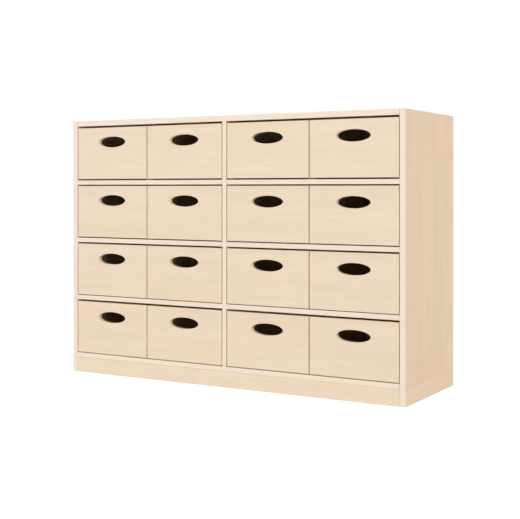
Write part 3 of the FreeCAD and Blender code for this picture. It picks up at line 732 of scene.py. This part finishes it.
def recess_arm(sizes, foot, turn):
    """One arm of the cutter for the cross recess."""
    bpy.ops.object.select_all(action="DESELECT")
    bpy.ops.mesh.primitive_cube_add(size=1.0, location=foot, rotation=(0.0, 0.0, turn))
    arm = bpy.context.active_object
    arm.scale = (sizes.recess_length, sizes.recess_width, 2.0 * sizes.recess_depth)
    bpy.ops.object.transform_apply(location=True, rotation=True, scale=True)
    return arm


def model_screw(sizes, foot, length):
    """A countersunk screw, head down, with a cross recess in its head."""
    bpy.ops.object.select_all(action="DESELECT")
    middle = foot + Vector((0.0, 0.0, sizes.head_height / 2))
    bpy.ops.mesh.primitive_cylinder_add(vertices=SCREW_SIDES, radius=sizes.head_radius,
                                        depth=sizes.head_height, location=middle)
    screw = bpy.context.active_object
    bpy.ops.object.mode_set(mode="EDIT")
    top_face(screw)
    taper = sizes.shank_radius / sizes.head_radius
    bpy.ops.transform.resize(value=(taper, taper, 1.0))
    rise = (0.0, 0.0, length - sizes.head_height)
    bpy.ops.mesh.extrude_region_move(TRANSFORM_OT_translate={"value": rise})
    bpy.ops.object.mode_set(mode="OBJECT")
    bpy.ops.object.transform_apply(location=True, rotation=True, scale=True)
    for turn in (0.0, math.pi / 2):
        arm = recess_arm(sizes, foot, turn)
        select_only(screw)
        cut = screw.modifiers.new("recess", "BOOLEAN")
        cut.operation = "DIFFERENCE"
        cut.object = arm
        bpy.ops.object.modifier_apply(modifier=cut.name)
        bpy.data.objects.remove(arm)
    bevel = screw.modifiers.new("rim", "BEVEL")
    bevel.width = sizes.recess_width * RIM_SHARE_OF_RECESS
    bevel.segments = RIM_SEGMENTS
    bevel.limit_method = "ANGLE"
    bevel.angle_limit = RIM_ANGLE
    bpy.ops.object.modifier_apply(modifier=bevel.name)
    bpy.ops.object.shade_smooth_by_angle(angle=SMOOTH_ANGLE)
    return screw


class TRAYUNIT_OT_model_plinth_screws(bpy.types.Operator):
    """Model the screws that hold the carcass on the plinth"""

    bl_idname = "trayunit.model_plinth_screws"
    bl_label = "Model Plinth Screws"

    def execute(self, context):
        sizes = context.scene.tray_unit_screws
        low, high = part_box("plinth_screws")
        reach = Vector((sizes.head_radius, sizes.head_radius, 0.0))
        low_axis = low + reach
        high_axis = high - reach
        material = steel_material("plinth screw steel", tones().steel, 5.0)
        first = model_screw(sizes, Vector((low_axis.x, low_axis.y, low.z)), high.z - low.z)
        first.data.materials.clear()
        first.data.materials.append(material)
        middle_x = (low_axis.x + high_axis.x) / 2
        screws = []
        for x in (low_axis.x, middle_x, high_axis.x):
            for y in (low_axis.y, high_axis.y):
                screws.append(self.copy_screw(first, x - low_axis.x, y - low_axis.y))
        bpy.data.objects.remove(first)
        for index, screw in enumerate(screws, start=1):
            screw.name = f"plinth_screw_{index}"
            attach(screw, "cabinet")
            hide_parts("plinth_screws")
        return {"FINISHED"}

    def copy_screw(self, source, x, y):
        """A copy of a screw with its own mesh, moved sideways."""
        select_only(source)
        bpy.ops.object.duplicate(linked=False)
        copy = bpy.context.active_object
        copy.location = (x, y, 0.0)
        bpy.ops.object.transform_apply(location=True, rotation=True, scale=True)
        return copy


def seen_rays(tree):
    """1 on rays that show the backdrop: from the camera, in gloss and through glass."""
    light_path = put(tree, "ShaderNodeLightPath")
    seen = light_path.outputs["Is Camera Ray"]
    for kind in ("Is Glossy Ray", "Is Transmission Ray"):
        seen = maths(tree, "MAXIMUM", seen, light_path.outputs[kind])
    return seen


def floor_material():
    """Pale floor: white where it is fully lit, and darker in the object's shadow."""
    material = start_material("studio floor")
    tree = material.node_tree
    coords = put(tree, "ShaderNodeTexCoord").outputs["Object"]
    mottle = noise(tree, stretched(tree, coords, ALONG_X, MOTTLE_SIZE, MOTTLE_SIZE), 0.0,
                   MOTTLE_DETAIL)
    tint = blend_colours(tree, mottle, *MOTTLE_TINTS)
    plain = put(tree, "ShaderNodeBsdfDiffuse", {"Color": FLOOR_COLOUR})
    lit = put(tree, "ShaderNodeBsdfDiffuse", {"Color": tint})
    lift = put(tree, "ShaderNodeEmission", {"Color": WHITE, "Strength": FLOOR_LIFT})
    near = put(tree, "ShaderNodeAddShader", {0: lit.outputs[0], 1: lift.outputs[0]})
    far = put(tree, "ShaderNodeEmission", {"Color": WHITE, "Strength": 1.0})
    reach = put(tree, "ShaderNodeVectorMath", {0: coords}, operation="LENGTH")
    share = spread(tree, reach.outputs["Value"], *FLOOR_FADE)
    seen = put(tree, "ShaderNodeMixShader", {0: share, 1: near.outputs[0],
                                             2: far.outputs[0]})
    surface = put(tree, "ShaderNodeMixShader", {0: seen_rays(tree), 1: plain.outputs[0],
                                                2: seen.outputs[0]})
    put(tree, "ShaderNodeOutputMaterial", {"Surface": surface.outputs[0]})
    return material


def light_world(settings):
    """Even light from all round, and a white backdrop."""
    world = bpy.data.worlds.new("studio")
    bpy.context.scene.world = world
    world.use_nodes = True
    tree = world.node_tree
    tree.nodes.clear()
    even = put(tree, "ShaderNodeBackground", {"Color": AMBIENT_COLOUR,
                                              "Strength": settings.ambient})
    backdrop = put(tree, "ShaderNodeBackground", {"Color": WHITE, "Strength": 1.0})
    mixed = put(tree, "ShaderNodeMixShader", {0: seen_rays(tree), 1: even.outputs[0],
                                              2: backdrop.outputs[0]})
    put(tree, "ShaderNodeOutputWorld", {"Surface": mixed.outputs[0]})


def soft_lamp(name, settings, turn, rise, strength):
    """A large square lamp: its turn to the right of the front, its rise, its share of light."""
    lamp = bpy.data.lights.new(name, "AREA")
    lamp.shape = "SQUARE"
    lamp.size = settings.lamp_size
    lamp.energy = strength * (math.pi * settings.lamp_distance) ** 2
    lamp.color = LAMP_COLOUR
    thing = bpy.data.objects.new(name, lamp)
    bpy.context.scene.collection.objects.link(thing)
    level = math.cos(math.radians(rise))
    towards = Vector((level * math.sin(math.radians(turn)),
                      -level * math.cos(math.radians(turn)), math.sin(math.radians(rise))))
    middle = (CAD_BOX[0] + CAD_BOX[1]) / 2
    thing.location = middle + settings.lamp_distance * towards
    thing.rotation_euler = (-towards).to_track_quat("-Z", "Y").to_euler()


def aim_camera(settings):
    """Camera with upright lines kept parallel, placed from the front right corner."""
    low, high = CAD_BOX
    data = bpy.data.cameras.new("camera")
    data.sensor_width = SENSOR_WIDTH_MM
    data.lens = settings.focal_length_px * SENSOR_WIDTH_MM / IMAGE_WIDTH_PX
    data.shift_y = settings.frame_shift
    data.clip_end = CLIP_END
    camera = bpy.data.objects.new("camera", data)
    bpy.context.scene.collection.objects.link(camera)
    camera.location = (high[0] + settings.corner_right, low[1] - settings.corner_front,
                       settings.eye_height)
    camera.rotation_euler = (math.pi / 2, 0.0, settings.turn)
    bpy.context.scene.camera = camera


class TRAYUNIT_OT_set_stage(bpy.types.Operator):
    """Set up the floor, the lamps and the camera"""

    bl_idname = "trayunit.set_stage"
    bl_label = "Set Stage"

    def execute(self, context):
        settings = context.scene.tray_unit_stage
        bpy.ops.object.select_all(action="DESELECT")
        bpy.ops.mesh.primitive_plane_add(size=settings.floor_size, location=(0.0, 0.0, 0.0))
        floor = context.active_object
        floor.name = "floor"
        floor.data.materials.append(floor_material())
        for name, turn, rise, light in LAMPS:
            soft_lamp(name, settings, turn, rise, getattr(settings, light))
        light_world(settings)
        aim_camera(settings)
        context.scene.view_settings.view_transform = "Standard"
        return {"FINISHED"}


STEPS = (
    TRAYUNIT_OT_finish_carcass,
    TRAYUNIT_OT_finish_lippings,
    TRAYUNIT_OT_finish_plinth,
    TRAYUNIT_OT_finish_back_panels,
    TRAYUNIT_OT_finish_tray_fronts,
    TRAYUNIT_OT_finish_tray_boxes,
    TRAYUNIT_OT_finish_fittings,
    TRAYUNIT_OT_model_plinth_screws,
    TRAYUNIT_OT_set_stage,
)


class TRAYUNIT_PT_sidebar(bpy.types.Panel):
    """Lists the steps that finish the storage unit"""

    bl_label = "Tray Storage Unit"
    bl_idname = "TRAYUNIT_PT_sidebar"
    bl_space_type = "VIEW_3D"
    bl_region_type = "UI"
    bl_category = "Tray Unit"

    def draw(self, context):
        for step in STEPS:
            self.layout.operator(step.bl_idname)


SETTINGS = {
    "tray_unit_tones": WoodTones,
    "tray_unit_grain": GrainSizes,
    "tray_unit_screws": ScrewSizes,
    "tray_unit_stage": StageSettings,
}


def register():
    for group in SETTINGS.values():
        bpy.utils.register_class(group)
    for step in STEPS:
        bpy.utils.register_class(step)
    bpy.utils.register_class(TRAYUNIT_PT_sidebar)
    for name, group in SETTINGS.items():
        setattr(bpy.types.Scene, name, PointerProperty(type=group))


def unregister():
    for name in SETTINGS:
        delattr(bpy.types.Scene, name)
    bpy.utils.unregister_class(TRAYUNIT_PT_sidebar)
    for step in reversed(STEPS):
        bpy.utils.unregister_class(step)
    for group in reversed(SETTINGS.values()):
        bpy.utils.unregister_class(group)


def main():
    register()
    for step in STEPS:
        group, name = step.bl_idname.split(".")
        getattr(getattr(bpy.ops, group), name)()


if __name__ == "__main__":
    main()
